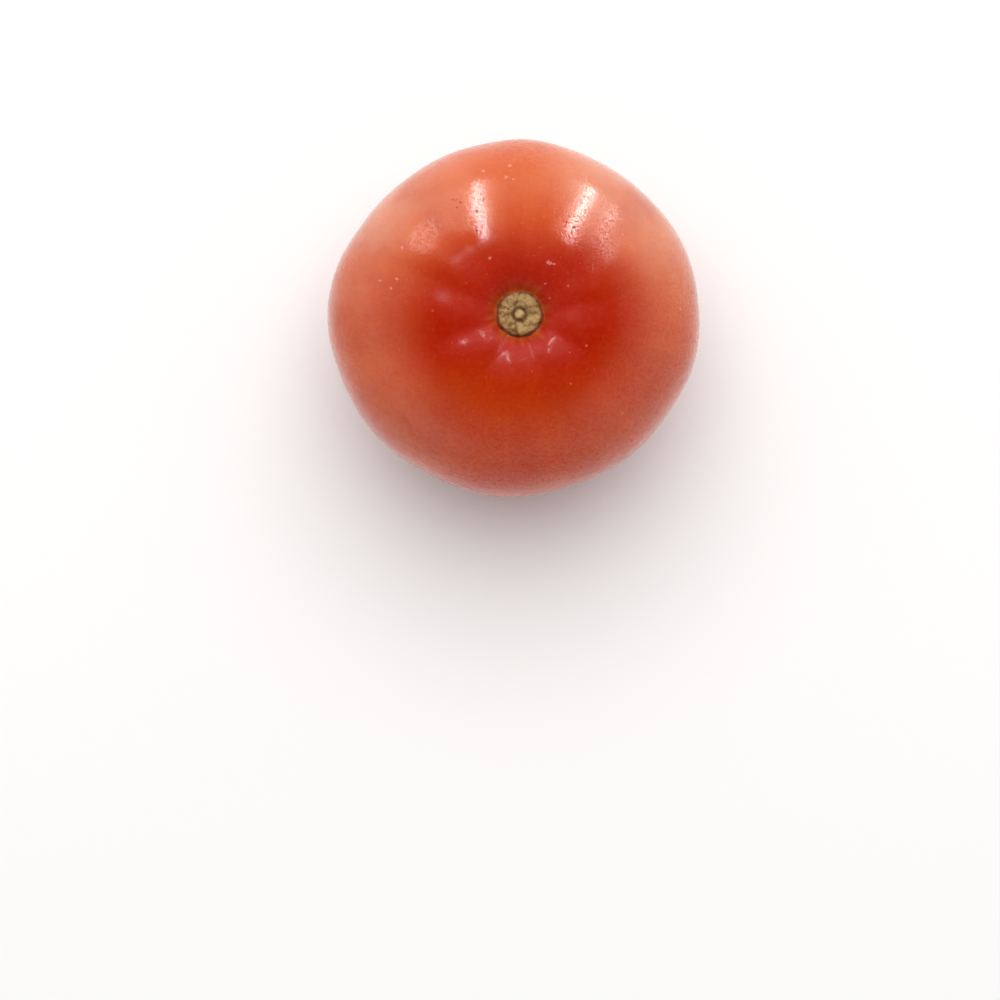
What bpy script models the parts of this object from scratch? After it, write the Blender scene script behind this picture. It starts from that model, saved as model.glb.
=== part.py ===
"""A beefsteak tomato as picked, with its calyx off, standing on its blossom end.

Metres, +Z up towards the stem scar, X across the widest part of the fruit. The origin is in the
middle of the fruit's outline, at the level of the small flat spot that it rests on.
The fruit grew as one piece, so it is one object: a coarse cage of rings and meridians, with the
meridians gathered into lobes, smoothed by a Subdivision Surface modifier.
"""

import math

import bmesh
import bpy
from mathutils import Matrix, Vector

# Overall size of the finished fruit.
FRUIT_WIDTH = 0.0920
FRUIT_DEPTH = 0.0883
FRUIT_HEIGHT = 0.0670

# The fruit's outline from the stem to the blossom end, before the lobes are pressed in.
CAGE_RADIUS = 0.0470
EQUATOR_HEIGHT = 0.0350
SHOULDER_RISE = 0.0335
SHOULDER_SQUARENESS = 2.45
BELLY_SQUARENESS = 2.15

# The hollow round the stem, and the scar on its floor.
HOLLOW_DEPTH = 0.0080
HOLLOW_RADIUS = 0.0086
HOLLOW_SHIFT = Vector((0.0012, -0.0008, 0.0))
SCAR_RADIUS = 0.0056
SCAR_RISE = 0.0009

# The flat spot, and the dimple of the blossom scar in its middle.
FOOT_RADIUS = 0.0088
DIMPLE_RADIUS = 0.0036
DIMPLE_DEPTH = 0.0009

# Steps of the cage along the outline.
SHOULDER_START_DEG = 14
SHOULDER_STEPS = 8
BELLY_END_DEG = 17
BELLY_STEPS = 7
FOOT_STEPS = 4
STEPS_PER_LOBE = 4

# Each lobe starts at a groove: the groove's azimuth in degrees from +X, its depth on the shoulder
# and on the flank, and how far the lobe after it swells past its neighbours, all in millimetres.
# A negative depth is a ridge, and a negative swell makes the lobe flatter than its neighbours.
LOBES = [
    (8, 0.5, 0.3, -0.3),
    (36, 0.25, 0.6, -0.7),
    (86, 0.3, -0.4, -1.0),
    (126, 0.3, 2.0, -1.6),
    (160, 0.6, 0.3, 0.3),
    (200, 1.0, 0.6, -0.2),
    (243, 1.3, 0.7, 0.3),
    (286, 0.9, 0.3, -0.3),
    (329, 1.0, 0.7, 0.2),
]
MM = 0.001

# How much of each depth applies between the stem (0 degrees) and the blossom end (180 degrees):
# it grows over the first pair of angles and dies out over the second.
SHOULDER_GROOVE_DEG = ((6, 24), (44, 96))
FLANK_GROOVE_DEG = ((54, 88), (100, 150))
SWELL_DEG = ((42, 84), (110, 152))

SKIN_COLOUR = (0.56, 0.060, 0.012, 1.0)
SKIN_ROUGHNESS = 0.3


def clear_scene():
    for old in list(bpy.data.objects):
        bpy.data.objects.remove(old, do_unlink=True)


def eased(low, high, value):
    """0 below low, 1 above high, and a smooth ramp between them."""
    share = min(max((value - low) / (high - low), 0.0), 1.0)
    return share * share * (3 - 2 * share)


def band(angle, edges):
    """The share of a depth that applies at this angle from the stem."""
    (grow_from, grow_to), (fade_from, fade_to) = edges
    return eased(grow_from, grow_to, angle) * (1 - eased(fade_from, fade_to, angle))


def superellipse(share, squareness):
    """The height share of a superellipse at this share of its radius."""
    return (1 - share**squareness) ** (1 / squareness)


def shoulder_height(radius):
    dome = SHOULDER_RISE * superellipse(radius / CAGE_RADIUS, SHOULDER_SQUARENESS)
    hollow = HOLLOW_DEPTH * math.exp(-((radius / HOLLOW_RADIUS) ** 2))
    return EQUATOR_HEIGHT + dome - hollow


def belly_height(radius):
    """The underside, down to the level at which it turns into the flat spot."""
    dome = superellipse(radius / CAGE_RADIUS, BELLY_SQUARENESS)
    foot = superellipse(FOOT_RADIUS / CAGE_RADIUS, BELLY_SQUARENESS)
    return EQUATOR_HEIGHT * (1 - dome / foot)


def dimple_height(radius):
    share = min(radius / DIMPLE_RADIUS, 1.0)
    return DIMPLE_DEPTH * (0.5 + 0.5 * math.cos(math.pi * share))


def outline():
    """(radius, height) of each ring of the cage, from the stem's pole to the blossom end's."""
    floor = shoulder_height(SCAR_RADIUS)
    rings = [(0.0, floor + SCAR_RISE)]
    rings += [(SCAR_RADIUS * share, floor + SCAR_RISE * (1 - share**2)) for share in (0.45, 0.8)]
    rings.append((SCAR_RADIUS * 1.15, shoulder_height(SCAR_RADIUS * 1.15)))
    for step in range(SHOULDER_STEPS + 1):
        angle = SHOULDER_START_DEG + (90 - SHOULDER_START_DEG) * step / SHOULDER_STEPS
        radius = CAGE_RADIUS * math.sin(math.radians(angle))
        rings.append((radius, shoulder_height(radius)))
    for step in range(1, BELLY_STEPS + 1):
        angle = 90 + (BELLY_END_DEG - 90) * step / BELLY_STEPS
        radius = CAGE_RADIUS * math.sin(math.radians(angle))
        rings.append((radius, belly_height(radius)))
    for step in range(FOOT_STEPS + 1):
        radius = FOOT_RADIUS + (DIMPLE_RADIUS - FOOT_RADIUS) * step / FOOT_STEPS
        rings.append((radius, 0.0))
    rings += [(DIMPLE_RADIUS * share, dimple_height(DIMPLE_RADIUS * share)) for share in (0.6, 0.0)]
    return rings


def meridians():
    """(azimuth in radians, shoulder press, flank press, swell) of each meridian, lobe by lobe."""
    found = []
    for number, (start, shoulder, flank, swell) in enumerate(LOBES):
        next_lobe = LOBES[(number + 1) % len(LOBES)]
        width = (next_lobe[0] - start) % 360
        for step in range(STEPS_PER_LOBE):
            share = step / STEPS_PER_LOBE
            azimuth = math.radians(start + width * share)
            hump = math.sin(math.pi * share)
            crease = (shoulder * (1 - share) + next_lobe[1] * share) * (1 - hump)
            flat = (flank * (1 - share) + next_lobe[2] * share) * (1 - hump**1.3)
            found.append((azimuth, crease * MM, flat * MM, swell * hump * MM))
    return found


def fruit_point(ring, meridian):
    """A point of the cage: its place on the turned outline, pressed in or swollen by its lobe."""
    radius, height = ring
    azimuth, shoulder, flank, swell = meridian
    shift = HOLLOW_SHIFT * (1 - eased(0.2, 0.8, radius / CAGE_RADIUS))
    if height < EQUATOR_HEIGHT:
        shift = Vector()
    place = Vector((radius * math.cos(azimuth), radius * math.sin(azimuth), height))
    outwards = (place - Vector((0, 0, EQUATOR_HEIGHT))).normalized()
    angle = math.degrees(math.acos(outwards.z))
    press = shoulder * band(angle, SHOULDER_GROOVE_DEG) + flank * band(angle, FLANK_GROOVE_DEG)
    return place + shift + outwards * (swell * band(angle, SWELL_DEG) - press)


def skin_material():
    skin = bpy.data.materials.new("tomato_skin")
    skin.use_nodes = True
    shader = skin.node_tree.nodes["Principled BSDF"]
    shader.inputs["Base Color"].default_value = SKIN_COLOUR
    shader.inputs["Roughness"].default_value = SKIN_ROUGHNESS
    shader.inputs["Metallic"].default_value = 0.0
    return skin


def fruit_cage():
    """A UV sphere whose rings and meridians are moved to the fruit's."""
    rings = outline()
    lobed = meridians()
    mesh = bpy.data.meshes.new("tomato")
    cage = bmesh.new()
    bmesh.ops.create_uvsphere(cage, u_segments=len(lobed), v_segments=len(rings) - 1, radius=1.0)
    for vert in cage.verts:
        down = math.acos(min(max(vert.co.z, -1.0), 1.0))
        round_about = math.atan2(vert.co.y, vert.co.x) % (2 * math.pi)
        ring = rings[round(down / math.pi * (len(rings) - 1))]
        meridian = lobed[round(round_about / (2 * math.pi) * len(lobed)) % len(lobed)]
        vert.co = fruit_point(ring, meridian)
    cage.to_mesh(mesh)
    cage.free()
    return mesh


def fit_to_size(fruit):
    """Scales the cage so that the smoothed fruit has its real size and stands on the origin."""
    bpy.context.view_layer.update()
    smoothed = fruit.evaluated_get(bpy.context.evaluated_depsgraph_get()).data
    low = Vector([min(vert.co[axis] for vert in smoothed.vertices) for axis in range(3)])
    high = Vector([max(vert.co[axis] for vert in smoothed.vertices) for axis in range(3)])
    size = Vector((FRUIT_WIDTH, FRUIT_DEPTH, FRUIT_HEIGHT))
    grow = Matrix.Diagonal([size[axis] / (high[axis] - low[axis]) for axis in range(3)]).to_4x4()
    middle = Vector(((low.x + high.x) / 2, (low.y + high.y) / 2, low.z))
    fruit.data.transform(grow @ Matrix.Translation(-middle))


def build_tomato():
    collection = bpy.data.collections.new("beefsteak_tomato")
    bpy.context.scene.collection.children.link(collection)
    fruit = bpy.data.objects.new("tomato", fruit_cage())
    collection.objects.link(fruit)
    fruit.data.materials.append(skin_material())
    fruit.data.shade_smooth()
    smoothing = fruit.modifiers.new("Subdivision", "SUBSURF")
    smoothing.levels = 1
    smoothing.render_levels = 1
    fit_to_size(fruit)
    return fruit


clear_scene()
build_tomato()
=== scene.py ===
import math

import bmesh
import bpy
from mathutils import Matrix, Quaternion, Vector


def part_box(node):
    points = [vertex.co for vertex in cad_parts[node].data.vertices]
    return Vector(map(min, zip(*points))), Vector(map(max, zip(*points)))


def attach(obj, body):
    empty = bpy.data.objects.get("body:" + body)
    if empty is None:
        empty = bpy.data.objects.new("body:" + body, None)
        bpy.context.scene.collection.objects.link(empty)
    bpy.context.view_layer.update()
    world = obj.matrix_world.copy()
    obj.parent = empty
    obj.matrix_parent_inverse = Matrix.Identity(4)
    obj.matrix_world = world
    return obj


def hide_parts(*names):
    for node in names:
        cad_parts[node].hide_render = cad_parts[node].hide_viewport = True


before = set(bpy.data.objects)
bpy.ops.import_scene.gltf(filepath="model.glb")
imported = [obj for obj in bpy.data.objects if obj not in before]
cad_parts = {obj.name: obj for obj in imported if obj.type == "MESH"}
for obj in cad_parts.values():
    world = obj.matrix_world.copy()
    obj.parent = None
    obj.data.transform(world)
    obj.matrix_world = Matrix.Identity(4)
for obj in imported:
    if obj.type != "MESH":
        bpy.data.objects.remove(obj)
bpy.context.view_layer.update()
cadLow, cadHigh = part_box("tomato")
mm = 0.001
up = Vector((0, 0, 1))


def deselectEverything():
    if bpy.context.object and bpy.context.object.mode != "OBJECT":
        bpy.ops.object.mode_set(mode="OBJECT")
    bpy.ops.object.select_all(action="DESELECT")


def makeActive(piece):
    deselectEverything()
    piece.select_set(True)
    bpy.context.view_layer.objects.active = piece


def startEditing(piece):
    makeActive(piece)
    bpy.ops.object.mode_set(mode="EDIT")
    bpy.ops.mesh.select_mode(type="VERT")


def pickPoints(piece, wanted):  # wanted is a test on a point's place
    points = bmesh.from_edit_mesh(piece.data)
    for face in points.faces:
        face.select = False
    for edge in points.edges:
        edge.select = False
    for point in points.verts:
        point.select = wanted(point.co)
    points.select_flush(True)
    bmesh.update_edit_mesh(piece.data)


def applyModifiers(piece):
    makeActive(piece)
    for modifier in list(piece.modifiers):
        bpy.ops.object.modifier_apply(modifier=modifier.name)


def eased(low, high, value):  # 0 below low, 1 above high, smooth between
    share = min(max((value - low) / (high - low), 0.0), 1.0)
    return share * share * (3 - 2 * share)


def band(angle, edges):  # grows over the first pair of angles, dies out over the second
    (growFrom, growTo), (fadeFrom, fadeTo) = edges
    return eased(growFrom, growTo, angle) * (1 - eased(fadeFrom, fadeTo, angle))


fruit = {
    "meridians": 36,  # four to a lobe
    "bodyRadius": 0.0470,
    "equatorHeight": 0.0350,
    "shoulderRise": 0.0335,
    "shoulderSquareness": 2.45,
    "shoulderStart": 15,  # the shoulder's first ring, in degrees from the stem
    "shoulderSteps": 8,
    "flankGrooveWidth": 1.3,  # above 1, the flank's grooves are wider than the shoulder's
    "bellySquareness": 2.15,
    "bellyEnd": 17,  # the belly's last ring, in degrees from the blossom end
    "bellySteps": 7,
    "hollowDepth": 0.0080,
    "hollowRadius": 0.0086,
    "hollowRings": (7.2 * mm, 9.0 * mm),  # between the scar and the shoulder
    "hollowShift": Vector((0.0012, -0.0008, 0)),
    "shiftFades": (0.2, 0.8),  # the shift dies out between these shares of the body's radius
    "footRadius": 0.0088,  # the flat spot under the fruit
    "footSteps": 4,
    "dimpleRadius": 0.0036,
    "dimpleDepth": 0.0009,
    "dimpleRings": (0.72, 0.45, 0.2),  # as shares of the dimple's radius
    "blossomScar": 0.6,  # the height of the dimple's middle, as a share of its depth
    "smoothing": 3,
    # unevenness: the size and the height of the lumps, and where those of the skin set in
    "broadLumps": (40 * mm, 0.4 * mm),
    "smallLumps": (12 * mm, 0.08 * mm),
    "corkLumps": (1.1 * mm, 0.55 * mm),
    "lumpsAboveFoot": (1.5 * mm, 9 * mm),
    "lumpsRoundScar": (5 * mm, 11 * mm),
}

stemScar = {
    # radius, and height over the hollow's floor, in mm
    "profile": [
        (0, 1.0), (0.7, 0.95),  # the stub where the stem broke off
        (1.35, 0.15), (2.4, 0.25),  # a groove round it
        (3.7, 1.0), (4.9, 0.95),  # a ring of cork
        (5.5, 0.05), (6.2, -0.1),  # the drop at its edge to the skin
    ],
    "edge": 5.4 * mm,
    "corkEnds": (4.6 * mm, 6.4 * mm),  # the cork's lumps die out over these radii
    "ragged": (2.0 * mm, 6.0 * mm),  # the rings between these radii aren't quite round
    # waves to a turn, their depth as a share of the radius, and phase
    "waves": [(5, 0.07, 0.6), (8, 0.05, 2.0)],
}

# One row for each groove and the lobe after it: the groove's azimuth in degrees, its depth on the
# shoulder and on the flank, and how far the lobe swells past its neighbours, in mm. A negative
# depth is a ridge, and a negative swell makes the lobe flatter than its neighbours.
lobes = [
    (8, 0.5, 0.3, -0.3),
    (36, 0.25, 0.6, -0.7),
    (86, 0.3, -0.4, -1.0),
    (126, 0.3, 2.0, -1.6),
    (160, 0.6, 0.3, 0.3),
    (200, 1.0, 0.6, -0.2),
    (243, 1.3, 0.7, 0.3),
    (286, 0.9, 0.3, -0.3),
    (329, 1.0, 0.7, 0.2),
]
# where each depth applies, in degrees from the stem
shoulderGroove = ((6, 24), (44, 96))
flankGroove = ((54, 88), (100, 150))
lobeSwell = ((42, 84), (110, 152))


def superellipse(share, squareness):
    return (1 - share**squareness) ** (1 / squareness)


def shoulderHeight(radius):
    share = radius / fruit["bodyRadius"]
    dome = fruit["shoulderRise"] * superellipse(share, fruit["shoulderSquareness"])
    hollow = fruit["hollowDepth"] * math.exp(-((radius / fruit["hollowRadius"]) ** 2))
    return fruit["equatorHeight"] + dome - hollow


def bellyHeight(radius):
    dome = superellipse(radius / fruit["bodyRadius"], fruit["bellySquareness"])
    foot = superellipse(fruit["footRadius"] / fruit["bodyRadius"], fruit["bellySquareness"])
    return fruit["equatorHeight"] * (1 - dome / foot)


def fruitRings():  # radius and height of each ring, from the stem's pole to the blossom end's
    floor = shoulderHeight(stemScar["edge"])
    rings = [(radius * mm, floor + rise * mm) for radius, rise in stemScar["profile"]]
    rings += [(radius, shoulderHeight(radius)) for radius in fruit["hollowRings"]]
    for step in range(fruit["shoulderSteps"] + 1):
        turned = (90 - fruit["shoulderStart"]) * step / fruit["shoulderSteps"]
        radius = fruit["bodyRadius"] * math.sin(math.radians(fruit["shoulderStart"] + turned))
        rings.append((radius, shoulderHeight(radius)))
    for step in range(1, fruit["bellySteps"] + 1):
        turned = (90 - fruit["bellyEnd"]) * step / fruit["bellySteps"]
        radius = fruit["bodyRadius"] * math.sin(math.radians(90 - turned))
        rings.append((radius, bellyHeight(radius)))
    for step in range(fruit["footSteps"] + 1):
        share = step / fruit["footSteps"]
        rings.append((fruit["footRadius"] * (1 - share) + fruit["dimpleRadius"] * share, 0.0))
    for share in fruit["dimpleRings"]:
        depth = fruit["dimpleDepth"] * (0.5 + 0.5 * math.cos(math.pi * share))
        rings.append((fruit["dimpleRadius"] * share, depth))
    rings.append((0.0, fruit["dimpleDepth"] * fruit["blossomScar"]))
    return rings


def lobedMeridians():  # azimuth, shoulder press, flank press and swell of each meridian
    found = []
    steps = fruit["meridians"] // len(lobes)
    for number, (start, shoulder, flank, swell) in enumerate(lobes):
        following = lobes[(number + 1) % len(lobes)]
        width = (following[0] - start) % 360
        for step in range(steps):
            share = step / steps
            hump = math.sin(math.pi * share)
            crease = (shoulder * (1 - share) + following[1] * share) * (1 - hump)
            dip = 1 - hump ** fruit["flankGrooveWidth"]
            flat = (flank * (1 - share) + following[2] * share) * dip
            azimuth = math.radians(start + width * share)
            found.append((azimuth, crease * mm, flat * mm, swell * hump * mm))
    return found


def extrudeRings(rings):
    firstRadius, height = rings[1]
    bpy.ops.mesh.primitive_circle_add(
        vertices=fruit["meridians"], radius=firstRadius, fill_type="TRIFAN", location=(0, 0, height)
    )
    tomato = bpy.context.object
    tomato.name = tomato.data.name = "beefTomato"
    bpy.ops.object.transform_apply(location=True)
    startEditing(tomato)
    pickPoints(tomato, lambda place: place.xy.length < 0.5 * firstRadius)
    bpy.ops.transform.translate(value=(0, 0, rings[0][1] - height))
    pickPoints(tomato, lambda place: place.xy.length > 0.5 * firstRadius)
    radius = firstRadius
    for nextRadius, nextHeight in rings[2:-1]:
        rise = (0, 0, nextHeight - height)
        bpy.ops.mesh.extrude_region_move(TRANSFORM_OT_translate={"value": rise})
        grow = nextRadius / radius
        bpy.ops.transform.resize(value=(grow, grow, 1), center_override=(0, 0, nextHeight))
        radius, height = nextRadius, nextHeight
    rise = (0, 0, rings[-1][1] - height)
    bpy.ops.mesh.extrude_region_move(TRANSFORM_OT_translate={"value": rise})
    bpy.ops.mesh.merge(type="CENTER")
    bpy.ops.mesh.select_all(action="SELECT")
    bpy.ops.mesh.normals_make_consistent(inside=False)
    return tomato


def gridOfPoints(tomato, rings):  # the index of the point on each ring and meridian
    grid = {}
    for point in bmesh.from_edit_mesh(tomato.data).verts:
        radius, height = point.co.xy.length, point.co.z
        if radius > 0.1 * mm:
            away = [abs(ring[0] - radius) + abs(ring[1] - height) for ring in rings]
            ring = away.index(min(away))
            turned = math.degrees(math.atan2(point.co.y, point.co.x)) / 360 * fruit["meridians"]
            grid[ring, round(turned) % fruit["meridians"]] = point.index
    return grid


def moveOf(ring, meridian):  # where a point of a plain round ring goes on the lobed fruit
    radius, height = ring
    azimuth, crease, flat, swell = meridian
    place = Vector((radius * math.cos(azimuth), radius * math.sin(azimuth), height))
    outwards = (place - up * fruit["equatorHeight"]).normalized()
    angle = math.degrees(math.acos(outwards.z))
    press = crease * band(angle, shoulderGroove) + flat * band(angle, flankGroove)
    moved = place + outwards * (swell * band(angle, lobeSwell) - press)
    if height > fruit["equatorHeight"]:
        share = 1 - eased(*fruit["shiftFades"], radius / fruit["bodyRadius"])
        moved += fruit["hollowShift"] * share
        least, most = stemScar["ragged"]
        if least < radius < most:
            waves = stemScar["waves"]
            ragged = sum(depth * math.cos(count * azimuth + phase) for count, depth, phase in waves)
            moved += Vector((math.cos(azimuth), math.sin(azimuth), 0)) * radius * ragged
    return moved


def pressLobes(tomato, rings):
    meridians = lobedMeridians()
    grid = gridOfPoints(tomato, rings)
    for (ring, number), index in grid.items():
        points = bmesh.from_edit_mesh(tomato.data)
        points.verts.ensure_lookup_table()
        move = moveOf(rings[ring], meridians[number]) - points.verts[index].co
        if move.length > 0.001 * mm:
            bpy.ops.mesh.select_all(action="DESELECT")
            points.verts[index].select_set(True)
            bpy.ops.transform.translate(value=move)
    # the grid leaves the poles out, and the stem's is shifted alone
    equator = fruit["equatorHeight"]
    pickPoints(tomato, lambda place: place.z > equator and place.xy.length < 0.5 * mm)
    bpy.ops.transform.translate(value=fruit["hollowShift"])


def fitTo(piece, low, high):
    places = [point.co for point in piece.data.vertices]
    least = Vector([min(place[axis] for place in places) for axis in range(3)])
    most = Vector([max(place[axis] for place in places) for axis in range(3)])
    startEditing(piece)
    bpy.ops.mesh.select_all(action="SELECT")
    bpy.ops.transform.translate(value=(-(least.x + most.x) / 2, -(least.y + most.y) / 2, -least.z))
    grow = [(high[axis] - low[axis]) / (most[axis] - least[axis]) for axis in range(3)]
    bpy.ops.transform.resize(value=grow, center_override=(0, 0, 0))
    middle = ((low[0] + high[0]) / 2, (low[1] + high[1]) / 2, low[2])
    bpy.ops.transform.translate(value=middle)
    bpy.ops.object.mode_set(mode="OBJECT")


def weigh(piece, name, weightOf):  # a vertex group from a rule on a point's place
    group = piece.vertex_groups.new(name=name)
    for point in piece.data.vertices:
        weight = weightOf(point.co)
        if weight > 0:
            group.add([point.index], weight, "REPLACE")
    return group


def displace(piece, name, group):
    size, height = fruit[name]
    texture = bpy.data.textures.new(name, "CLOUDS")
    texture.noise_scale = size
    texture.noise_depth = 1
    lumps = piece.modifiers.new(name, "DISPLACE")
    lumps.texture = texture
    lumps.texture_coords = "LOCAL"
    lumps.strength = height
    lumps.mid_level = 0.5
    lumps.vertex_group = group.name


def fromStem(place):
    return (place.xy - fruit["hollowShift"].xy).length


def skinShare(place):  # 1 on the skin, 0 on the flat spot and on the stem scar
    share = eased(*fruit["lumpsAboveFoot"], place.z)
    if place.z > fruit["equatorHeight"]:
        share *= eased(*fruit["lumpsRoundScar"], fromStem(place))
    return share


def scarShare(place):  # 1 on the stem scar
    if place.z < fruit["equatorHeight"]:
        return 0.0
    return 1 - eased(*stemScar["corkEnds"], fromStem(place))


def makeTomato():
    rings = fruitRings()
    tomato = extrudeRings(rings)
    pressLobes(tomato, rings)
    bpy.ops.object.mode_set(mode="OBJECT")
    smoothing = tomato.modifiers.new("smoothing", "SUBSURF")
    smoothing.levels = smoothing.render_levels = fruit["smoothing"]
    applyModifiers(tomato)
    onTop = [point for point in tomato.data.vertices if point.co.z > fruit["equatorHeight"]]
    stem = min(onTop, key=lambda point: fromStem(point.co)).index
    skinPart = weigh(tomato, "skin", skinShare)
    scarPart = weigh(tomato, "scar", scarShare)
    displace(tomato, "broadLumps", skinPart)
    displace(tomato, "smallLumps", skinPart)
    displace(tomato, "corkLumps", scarPart)
    applyModifiers(tomato)
    fitTo(tomato, cadLow, cadHigh)
    bpy.ops.object.shade_smooth()
    return tomato, tomato.data.vertices[stem].co.copy()


tomato, stemMiddle = makeTomato()
print("tomato modelled:", len(tomato.data.polygons), "faces")


def linear(code):  # an sRGB hex colour as linear light
    parts = [int(code[at : at + 2], 16) / 255 for at in (1, 3, 5)]
    light = [part / 12.92 if part <= 0.04045 else ((part + 0.055) / 1.055) ** 2.4 for part in parts]
    return light + [1.0]


# each input is a value or another node's output, by number or by name
def addNode(tree, kind, inputs=(), output=0, **settings):
    node = tree.nodes.new("ShaderNode" + kind)
    for name, value in settings.items():
        setattr(node, name, value)
    for name, value in inputs.items() if isinstance(inputs, dict) else enumerate(inputs):
        if isinstance(value, bpy.types.NodeSocket):
            tree.links.new(value, node.inputs[name])
        else:
            node.inputs[name].default_value = value
    return node.outputs[output]


times = {"operation": "MULTIPLY"}
timesPlus = {"operation": "MULTIPLY_ADD"}
larger = {"operation": "MAXIMUM"}
# a map range's inputs are the value, the two ends it goes between, and what those become
smooth = {"interpolation_type": "SMOOTHSTEP"}
# a colour mix's inputs are 0, the share, and 6 and 7, the colours
tint = {"output": 2, "data_type": "RGBA"}


skin = {
    "red": "#B63405",
    "orange": "#C94F0C",
    "deepRed": "#A61601",
    "paleShoulder": "#B86420",
    "fleck": "#E79A62",
    # pale wax colour, also used for painted reflection on the flanks
    "bloomAndReflection": "#F7CDAE",
    "pit": "#74260F",
    "scuff": "#E39C92",
    "patch": 22 * mm,
    "streaksRound": 34,  # pole-to-pole streaks round the fruit
    "turning": (0.34, 0.74),  # red at the first ripeness, and all orange at the second
    # the deep red heart round the stem is partly the fruit's own colour and partly painted shade
    "heartShape": (0.74, 1.1, 0),  # squeezes X and Y, so the deep red heart is wider in X
    "heart": (2 * mm, -1 * mm, 0),  # its middle once squeezed
    "heartReach": 23 * mm,
    "heartDepth": 0.9,  # how far the red deepens there, and towards the blossom end
    "bellyDepth": 0.75,
    "raysShow": 0.55,  # how much the paler rays round the stem show
    "mottle": 0.02,  # how much the fine mottle shows
    # spacing, the shares of it between which an edge fades, the share left out, and strength
    "flecks": (1.6 * mm, 0.05, 0.16, 0.4, 0.16),
    "spots": (4.5 * mm, 0.04, 0.1, 0.5, 0.35),
    "bloomPatch": 16 * mm,
    "bloomAndReflectionSides": (0.08, 0.33),  # how much pale wax and painted reflection there is on the side at -Y and at +Y
    "pitShows": 0.62,
    "scuffShows": 0.5,
    "rubbedPatch": 6 * mm,
    "roughness": (0.2, 0.26),  # of the glossy patches and of the rubbed ones
    "mattRoughness": 0.35,  # added on the matt spots, and in the hollow
    "hollowRoughness": 0.4,
    "wax": (0.03, 0.55),  # the coat on grains and on unbroken skin
    "openPore": 0.05,  # the share of the coat that is left in an open pore
    "grain": 0.58 * mm,  # real pores are finer: grains and pores are as coarse as it takes to show
    "grainRelief": 0.04 * mm,
    "pore": 0.75 * mm,
    "poreRelief": 0.02 * mm,
    "ripple": 2.6 * mm,
    "rippleRelief": 0.05 * mm,
    "pitRelief": -0.05 * mm,
}

# small marks on this fruit: place from above and radius in mm
marks = {
    "pits": [
        (-14.7, 26.8, 0.26), (-13.8, 26.6, 0.28), (-12.8, 25.9, 0.33), (-13.6, 24.7, 0.33),
        (-7.2, 26.6, 0.28), (-8.9, 23.7, 0.4), (-7.9, 27.9, 0.22), (-8.8, 19.0, 0.3),
        (13.0, 22.4, 0.34), (14.8, 21.1, 0.28), (12.4, 21.0, 0.28), (14.2, 19.8, 0.34),
    ],
    "scuffs": [
        (7.9, 11.4, 0.43), (8.6, 11.1, 0.48), (9.4, 10.9, 0.3), (7.3, 6.4, 0.24),
        (-5.8, 12.3, 0.34), (-7.4, 33.8, 0.38), (-26.7, 15.3, 0.4), (-28.0, 7.8, 0.34),
        (-29.2, 5.5, 0.34), (-32.0, 7.4, 0.28), (25.8, 18.5, 0.3), (-1.9, 32.2, 0.43),
        (-1.0, 35.2, 0.45),
    ],
    "mattSpots": [(-14.2, 15.6, 4.2), (-10.6, 16.8, 2.5)],  # where the skin was rubbed
    "ragged": 0.9 * mm,  # how far the edges of all of them wander
}

cork = {
    "stub": "#C2AC78",
    "light": "#B28F5F",
    "dark": "#77552F",
    "darkRing": "#4A3018",
    "crumb": 1.3 * mm,
    "crumbRelief": 0.6 * mm,
    "roughness": 0.85,
    "stemEdge": (5.0 * mm, 5.9 * mm),
    "blossomEdge": (1.5 * mm, 2.1 * mm),
}


def findPlaces(tree):  # what every pattern on the fruit is measured from
    place = addNode(tree, "TexCoord", output="Object")
    flat = addNode(tree, "VectorMath", (place, (1, 1, 0)), **times)
    height = addNode(tree, "SeparateXYZ", (place,), output="Z")
    x = addNode(tree, "SeparateXYZ", (flat,), output="X")
    stem = (stemMiddle.x, stemMiddle.y, 0)
    patches = {"Vector": place, "Scale": 1 / skin["patch"], "Detail": 3.0}
    crumbs = {"Vector": place, "Scale": 1 / cork["crumb"], "Detail": 4.0}
    return {
        "place": place,
        "flat": flat,
        "height": height,
        "around": addNode(tree, "VectorMath", (flat,), operation="NORMALIZE"),
        "side": addNode(tree, "SeparateXYZ", (flat,), output="Y"),
        "across": addNode(tree, "Math", (x,), operation="ABSOLUTE"),
        "onTop": addNode(tree, "MapRange", (height, 30 * mm, 40 * mm), **smooth),
        "fromStem": addNode(tree, "VectorMath", (flat, stem), "Value", operation="DISTANCE"),
        "fromBlossom": addNode(tree, "VectorMath", (flat,), "Value", operation="LENGTH"),
        "patches": addNode(tree, "TexNoise", patches),
        "crumbs": addNode(tree, "TexNoise", crumbs),
    }


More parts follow.
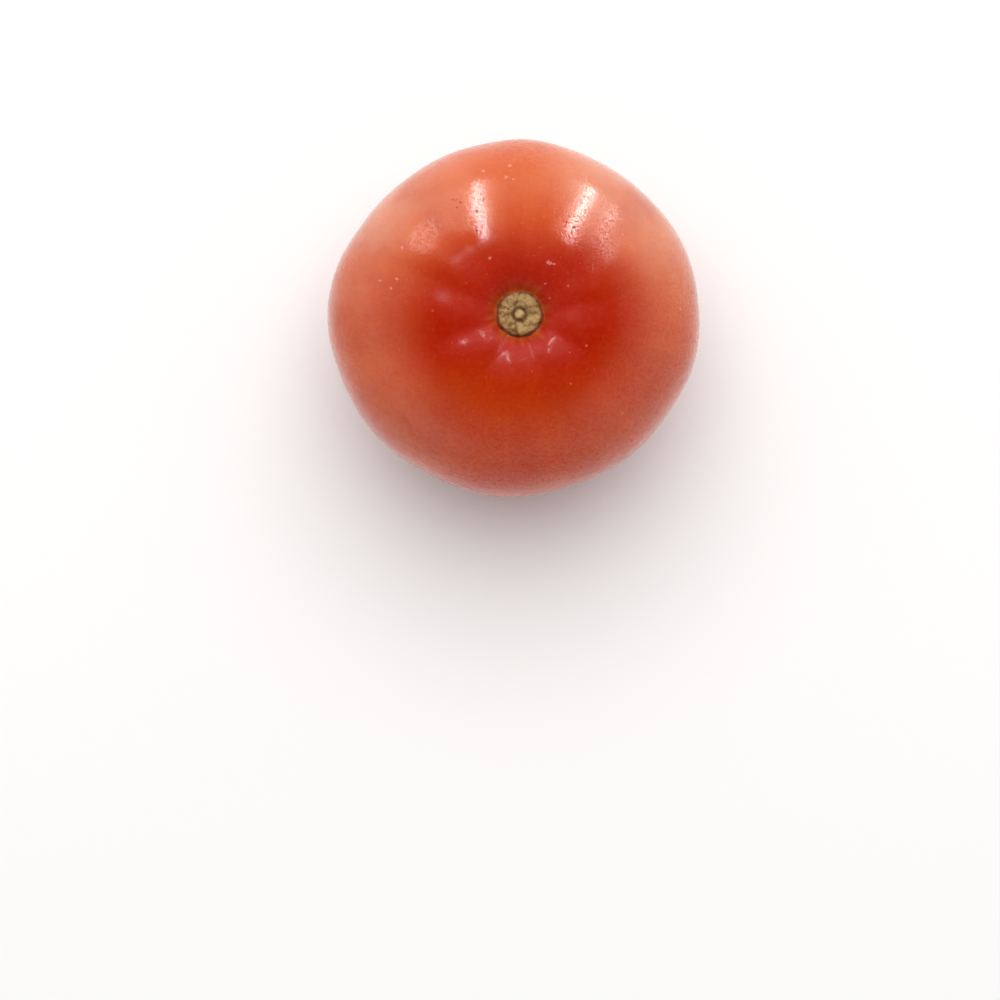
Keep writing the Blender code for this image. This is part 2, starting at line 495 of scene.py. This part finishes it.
# large faint patches and pole-to-pole streaks of orange, more of it away from the stem; painted light
# adds orange along the middle of the +Y side, towards the lamps, and painted shade takes it away
# towards -Y
def orangeShare(tree, at):
    perTurn = skin["streaksRound"] / math.tau
    streaks = addNode(tree, "TexNoise", {"Vector": at["around"], "Scale": perTurn, "Detail": 3.0})
    ripeness = addNode(tree, "Mix", {0: 0.3, 2: at["patches"], 3: streaks})
    outward = addNode(tree, "MapRange", (at["fromStem"], 12 * mm, 36 * mm, -0.14, 0.1), **smooth)
    ripeness = addNode(tree, "Math", (outward, at["onTop"], ripeness), **timesPlus)
    # painted light: more orange along the middle of the +Y side, which faces the lamps
    litCrest = addNode(tree, "MapRange", (at["side"], 8 * mm, 22 * mm, 0.0, 0.12), **smooth)
    middle = addNode(tree, "MapRange", (at["across"], 8 * mm, 22 * mm, 1.0, 0.0), **smooth)
    ripeness = addNode(tree, "Math", (litCrest, middle, ripeness), **timesPlus)
    # painted shade: less orange towards -Y, away from the lamps
    shadedSide = addNode(tree, "MapRange", (at["side"], -8 * mm, 18 * mm, -0.13, 0.0), **smooth)
    ripeness = addNode(tree, "Math", (ripeness, shadedSide), operation="ADD")
    return addNode(tree, "MapRange", (ripeness, *skin["turning"]), **smooth)


# the heart is partly the fruit's own deep red and partly painted shade round the stem
def deepRedAndShadeShare(tree, at):  # the deep red heart round the stem, and the deep red belly
    squeezed = addNode(tree, "VectorMath", (at["flat"], skin["heartShape"]), **times)
    ends = (squeezed, skin["heart"])
    fromHeart = addNode(tree, "VectorMath", ends, "Value", operation="DISTANCE")
    reach = addNode(tree, "Math", (at["patches"], -skin["heartReach"], fromHeart), **timesPlus)
    heart = addNode(tree, "MapRange", (reach, 0.0, 15 * mm, skin["heartDepth"], 0.0), **smooth)
    heart = addNode(tree, "Math", (heart, at["onTop"]), **times)
    fade = (at["height"], 2 * mm, 46 * mm, skin["bellyDepth"], 0.0)
    return addNode(tree, "Math", (heart, addNode(tree, "MapRange", fade, **smooth)), **larger)


def rayShare(tree, at):  # a ring of rays close round the stem
    rays = addNode(tree, "TexNoise", {"Vector": at["around"], "Scale": 5.0})
    reach = addNode(tree, "Math", (rays, -7 * mm, at["fromStem"]), **timesPlus)
    fade = (reach, 0.5 * mm, 5 * mm, skin["raysShow"], 0.0)
    return addNode(tree, "Math", (addNode(tree, "MapRange", fade, **smooth), at["onTop"]), **times)


def fleckShare(tree, at):  # a fine pale mottle, small flecks and a few larger pale spots
    fine = {"Vector": at["place"], "Scale": 1 / (2 * skin["grain"]), "Detail": 2.0}
    mottle = addNode(tree, "TexNoise", fine)
    share = addNode(tree, "MapRange", (mottle, 0.4, 0.7, 0.0, skin["mottle"]), **smooth)
    for spacing, least, most, leftOut, strength in (skin["flecks"], skin["spots"]):
        cells = {"Vector": at["place"], "Scale": 1 / spacing}
        away = addNode(tree, "TexVoronoi", cells)
        drop = addNode(tree, "MapRange", (away, least, most, 1.0, 0.0), **smooth)
        draw = addNode(tree, "SeparateColor", (addNode(tree, "TexVoronoi", cells, "Color"),))
        seen = addNode(tree, "MapRange", (draw, leftOut, 0.9, 0.0, strength), **smooth)
        share = addNode(tree, "Math", (drop, seen, share), **timesPlus)
    thick = addNode(tree, "MapRange", (at["height"], 10 * mm, 50 * mm, 0.4, 1.0), **smooth)
    return addNode(tree, "Math", (share, thick), **times)


# painted reflection: a thin real wax, with the pale veil that the skin mirrors towards its rim painted
# into the colour, most on the side at +Y, which faces the lamps
def bloomAndReflectionShare(tree, at):  # pale wax and painted reflection on the upper flanks, thicker on the side at +Y
    outer = addNode(tree, "MapRange", (at["fromStem"], 20 * mm, 40 * mm), **smooth)
    side = addNode(tree, "MapRange", (at["side"], -5 * mm, 26 * mm, *skin["bloomAndReflectionSides"]), **smooth)
    across = addNode(tree, "MapRange", (at["across"], 6 * mm, 20 * mm, 0.4, 1.0), **smooth)
    patches = {"Vector": at["place"], "Scale": 1 / skin["bloomPatch"], "Detail": 3.0}
    worn = addNode(tree, "TexNoise", patches)
    worn = addNode(tree, "MapRange", (worn, 0.3, 0.65, 0.5, 1.0), **smooth)
    upper = addNode(tree, "MapRange", (at["height"], 18 * mm, 36 * mm, 0.15, 1.0), **smooth)
    share = outer
    for part in (side, across, worn, upper):
        share = addNode(tree, "Math", (share, part), **times)
    return share


def scatter(tree, at, spots):  # 1 on the spots, with ragged edges, 0 elsewhere
    ragged = marks["ragged"]
    shake = {"Vector": at["place"], "Scale": 1 / ragged, "Detail": 1.0}
    shaken = addNode(tree, "TexNoise", shake, "Color")
    shaken = addNode(tree, "VectorMath", (shaken, (ragged, ragged, 0), at["flat"]), **timesPlus)
    together = 0.0
    for x, y, radius in spots:
        middle = (x * mm + ragged / 2, y * mm + ragged / 2, 0)  # on average the noise adds half
        away = addNode(tree, "VectorMath", (shaken, middle), "Value", operation="DISTANCE")
        edge = (away, 0.5 * radius * mm, 1.3 * radius * mm, 1.0, 0.0)
        spot = addNode(tree, "MapRange", edge, **smooth)
        together = addNode(tree, "Math", (spot, together), **larger)
    return addNode(tree, "Math", (together, at["onTop"]), **times)


def corkShare(tree, at):  # 1 on the stem scar and on the blossom scar, with a ragged edge
    ragged = addNode(tree, "MapRange", (at["crumbs"], 0.0, 1.0, -1.0 * mm, 1.0 * mm))
    onBelly = addNode(tree, "MapRange", (at["height"], 3 * mm, 6 * mm, 1.0, 0.0), **smooth)
    scars = []
    for distance, edge, side in (
        (at["fromStem"], cork["stemEdge"], at["onTop"]),
        (at["fromBlossom"], cork["blossomEdge"], onBelly),
    ):
        shaken = addNode(tree, "Math", (distance, ragged), operation="ADD")
        scar = addNode(tree, "MapRange", (shaken, *edge, 1.0, 0.0), **smooth)
        scars.append(addNode(tree, "Math", (scar, side), **times))
    return addNode(tree, "Math", scars, **larger)


def layColours(tree, colours, ground, layers):  # each layer covers its share of those before it
    colour = linear(colours[ground])
    for name, share in layers.items():
        colour = addNode(tree, "Mix", {0: share, 6: colour, 7: linear(colours[name])}, **tint)
    return colour


def skinColour(tree, at, pitted, scuffed):
    layers = {
        "orange": orangeShare(tree, at),
        "deepRed": deepRedAndShadeShare(tree, at),
        "paleShoulder": rayShare(tree, at),
        "fleck": fleckShare(tree, at),
        "bloomAndReflection": bloomAndReflectionShare(tree, at),
        "pit": addNode(tree, "Math", (pitted, skin["pitShows"]), **times),
        "scuff": addNode(tree, "Math", (scuffed, skin["scuffShows"]), **times),
    }
    return layColours(tree, skin, "red", layers)


# light and dark crumbs, in cracks that run out from the stub, and darker in the groove round the stub
# and along the scar's rim
def corkColour(tree, at):
    cracks = addNode(tree, "TexNoise", {"Vector": at["around"], "Scale": 2.6, "Detail": 4.0})
    worn = addNode(tree, "Mix", {0: 0.5, 2: at["crumbs"], 3: cracks})
    inner = addNode(tree, "MapRange", (at["fromStem"], 0.9 * mm, 1.4 * mm, 0.0, 0.8), **smooth)
    outer = addNode(tree, "MapRange", (at["fromStem"], 1.6 * mm, 2.4 * mm, 1.0, 0.0), **smooth)
    inGroove = addNode(tree, "Math", (inner, outer), **times)
    rim = addNode(tree, "MapRange", (at["fromStem"], 4.6 * mm, 5.4 * mm, 0.0, 0.8), **smooth)
    stub = addNode(tree, "MapRange", (at["fromStem"], 0.7 * mm, 1.2 * mm, 0.8, 0.0), **smooth)
    layers = {
        "light": addNode(tree, "MapRange", (worn, 0.38, 0.58), **smooth),
        "darkRing": addNode(tree, "Math", (inGroove, rim), **larger),
        "stub": addNode(tree, "Math", (stub, at["onTop"]), **times),
    }
    return layColours(tree, cork, "dark", layers)


def skinGrains(tree, at):  # fine noise, and the pores: 0 in an open pore, 1 elsewhere
    fine = {"Vector": at["place"], "Scale": 1 / skin["grain"], "Detail": 2.0}
    grains = addNode(tree, "TexNoise", fine)
    cells = {"Vector": at["place"], "Scale": 1 / skin["pore"]}
    pores = addNode(tree, "MapRange", (addNode(tree, "TexVoronoi", cells), 0.14, 0.36), **smooth)
    draw = addNode(tree, "SeparateColor", (addNode(tree, "TexVoronoi", cells, "Color"),))
    closed = addNode(tree, "MapRange", (draw, 0.45, 0.6), **smooth)
    return grains, addNode(tree, "Math", (pores, closed), **larger)


# the wax is broken by grains and pores, and the gloss is duller where the skin was rubbed, and gone
# on cork, in pits and deep in the hollow
def skinGloss(tree, at, grains, pores, pitted, corky):  # the roughness and the coat's weight
    matt = scatter(tree, at, marks["mattSpots"])
    hollow = addNode(tree, "MapRange", (at["fromStem"], 7 * mm, 18 * mm, 0.85, 0.0), **smooth)
    hollow = addNode(tree, "Math", (hollow, at["onTop"]), **times)
    patches = {"Vector": at["place"], "Scale": 1 / skin["rubbedPatch"], "Detail": 4.0}
    rubbed = addNode(tree, "TexNoise", patches)
    rough = addNode(tree, "MapRange", (rubbed, 0.3, 0.7, *skin["roughness"]))
    rough = addNode(tree, "Math", (matt, skin["mattRoughness"], rough), **timesPlus)
    rough = addNode(tree, "Math", (hollow, skin["hollowRoughness"], rough), **timesPlus)
    rough = addNode(tree, "Mix", {0: corky, 2: rough, 3: cork["roughness"]})

    wax = addNode(tree, "MapRange", (grains, 0.42, 0.5, *skin["wax"]), **smooth)
    left = addNode(tree, "MapRange", (pores, 0.0, 1.0, skin["openPore"], 1.0))
    wax = addNode(tree, "Math", (wax, left), **times)
    bare = corky
    for part in (pitted, hollow, matt):
        bare = addNode(tree, "Math", (bare, part), **larger)
    waxed = addNode(tree, "Math", (1.0, bare), operation="SUBTRACT")
    return rough, addNode(tree, "Math", (waxed, wax), **times)


def skinRelief(tree, at, grains, pores, pitted, corky):  # height in metres
    ripples = addNode(tree, "TexNoise", {"Vector": at["place"], "Scale": 1 / skin["ripple"]})
    relief = 0.0
    for pattern, height in (
        (ripples, skin["rippleRelief"]),
        (grains, skin["grainRelief"]),
        (pores, skin["poreRelief"]),
        (pitted, skin["pitRelief"]),
        (addNode(tree, "Math", (corky, at["crumbs"]), **times), cork["crumbRelief"]),
    ):
        relief = addNode(tree, "Math", (pattern, height, relief), **timesPlus)
    return relief


# Tomato skin is thin, waxy and wet underneath: a soft broad sheen with a sharper gleam in it,
# colour that comes from below the surface, and pores that break the gleam into grains. On the
# scars it is dull cork.
def makeSkin():
    material = bpy.data.materials.new("waxyTomatoSkin")
    material.use_nodes = True
    tree = material.node_tree
    at = findPlaces(tree)
    pitted = scatter(tree, at, marks["pits"])
    scuffed = scatter(tree, at, marks["scuffs"])
    corky = corkShare(tree, at)
    grains, pores = skinGrains(tree, at)

    colour = skinColour(tree, at, pitted, scuffed)
    colour = addNode(tree, "Mix", {0: corky, 6: colour, 7: corkColour(tree, at)}, **tint)
    roughness, coat = skinGloss(tree, at, grains, pores, pitted, corky)
    relief = skinRelief(tree, at, grains, pores, pitted, corky)

    shader = tree.nodes["Principled BSDF"]
    tree.links.new(colour, shader.inputs["Base Color"])
    tree.links.new(roughness, shader.inputs["Roughness"])
    tree.links.new(coat, shader.inputs["Coat Weight"])
    bump = addNode(tree, "Bump", {"Distance": 1.0, "Height": relief})
    tree.links.new(bump, shader.inputs["Normal"])
    for name, value in {
        "IOR": 1.42,
        "Specular IOR Level": 0.14,
        "Coat Roughness": 0.15,
        "Coat IOR": 1.5,
        "Subsurface Weight": 0.18,
        "Subsurface Scale": 3.0 * mm,
        "Subsurface Radius": (1.0, 0.25, 0.1),
        "Sheen Weight": 0.08,
        "Sheen Roughness": 0.3,
        "Sheen Tint": linear("#FFE6DC"),
    }.items():
        shader.inputs[name].default_value = value
    return material


tomato.data.materials.append(makeSkin())
print("skin made")

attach(tomato, "root")
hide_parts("tomato")

studio = {
    "floorColour": "#FAF9F8",
    "floorSize": 6.0,
    "floorGrain": 900.0,  # grains to a metre
    # how bright the sky is at this share of the way up, from the horizon to straight overhead
    "sky": [(0.0, "#FFFFFF"), (0.3, "#FFFFFF"), (0.62, "#BCBBBB"), (0.82, "#464545"), (1.0, "#303030")],
    "cameraHeight": 0.70,  # over the fruit's widest ring
    "viewWidth": 0.248,  # what the square picture spans there
    "fruitInView": (3.35 * mm, 44.9 * mm),  # the fruit's middle from the picture's middle
}


def makeFloor():
    bpy.ops.mesh.primitive_plane_add(size=studio["floorSize"], location=(0, 0, 0))
    floor = bpy.context.object
    floor.name = "studioFloor"
    material = bpy.data.materials.new("paleStudioCard")  # matt painted card, even and almost white
    material.use_nodes = True
    tree = material.node_tree
    shader = tree.nodes["Principled BSDF"]
    place = addNode(tree, "TexCoord", output="Object")
    grain = addNode(tree, "TexNoise", {"Vector": place, "Scale": studio["floorGrain"]})
    bump = addNode(tree, "Bump", {"Strength": 0.05, "Distance": 0.1 * mm, "Height": grain})
    tree.links.new(bump, shader.inputs["Normal"])
    shader.inputs["Base Color"].default_value = linear(studio["floorColour"])
    shader.inputs["Roughness"].default_value = 0.9
    shader.inputs["Specular IOR Level"].default_value = 0.2
    floor.data.materials.append(material)


# Soft boxes round the fruit: bearing, angle from straight up and turn in degrees, distance, width
# and length in metres, and power in watts. The fill lights surfaces and isn't mirrored in the skin,
# the others are only mirrored in it.
softBoxes = {
    "overheadFill": (90, 26, 0, 1.5, 1.8, 1.8, 24.4),
    "leftStrip": (107, 49, -9, 1.0, 0.085, 1.1, 9.2),
    "rightStrip": (60.5, 63, 3, 1.0, 0.09, 1.3, 10.4),
    "farLeftGleam": (136, 53, 0, 1.0, 0.34, 0.42, 1.6),
    "farRightGleam": (48, 66, 10, 1.0, 0.07, 0.85, 2.1),
}


def makeLights():
    for name, (bearing, tilt, turn, distance, width, length, power) in softBoxes.items():
        bearing, tilt = math.radians(bearing), math.radians(tilt)
        out = math.sin(tilt)
        towards = Vector((math.cos(bearing) * out, math.sin(bearing) * out, math.cos(tilt)))
        light = bpy.data.lights.new(name, "AREA")
        light.shape = "ELLIPSE"
        light.size, light.size_y, light.energy = width, length, power
        lamp = bpy.data.objects.new(name, light)
        bpy.context.scene.collection.objects.link(lamp)
        lamp.location = towards * distance + up * fruit["equatorHeight"]
        lamp.rotation_mode = "QUATERNION"
        turned = Quaternion((0, 0, 1), math.radians(turn))
        lamp.rotation_quaternion = (-towards).to_track_quat("-Z", "Y") @ turned
        lamp.visible_camera = False
        lamp.visible_glossy = name != "overheadFill"
        lamp.visible_diffuse = name == "overheadFill"


def makeSky():
    world = bpy.data.worlds.new("studioSky")
    world.use_nodes = True
    tree = world.node_tree
    way = addNode(tree, "TexCoord", output="Generated")
    height = addNode(tree, "SeparateXYZ", (way,), output="Z")
    colour = addNode(tree, "ValToRGB", (height,))
    ramp = colour.node.color_ramp  # it has its first and last stops already
    ramp.interpolation = "EASE"
    for stop in studio["sky"][1:-1]:
        ramp.elements.new(stop[0])
    for stop, (share, shade) in zip(ramp.elements, studio["sky"]):
        stop.color = linear(shade)
    tree.links.new(colour, tree.nodes["Background"].inputs["Color"])
    bpy.context.scene.world = world


def makeCamera():
    camera = bpy.data.objects.new("overheadCamera", bpy.data.cameras.new("overheadCamera"))
    bpy.context.scene.collection.objects.link(camera)
    camera.data.lens = camera.data.sensor_width * studio["cameraHeight"] / studio["viewWidth"]
    right, high = studio["fruitInView"]
    camera.location = (-right, -high, fruit["equatorHeight"] + studio["cameraHeight"])
    camera.data.clip_start = 0.01
    bpy.context.scene.camera = camera


makeFloor()
makeLights()
makeSky()
makeCamera()
bpy.context.scene.view_settings.view_transform = "Standard"
print("studio made")
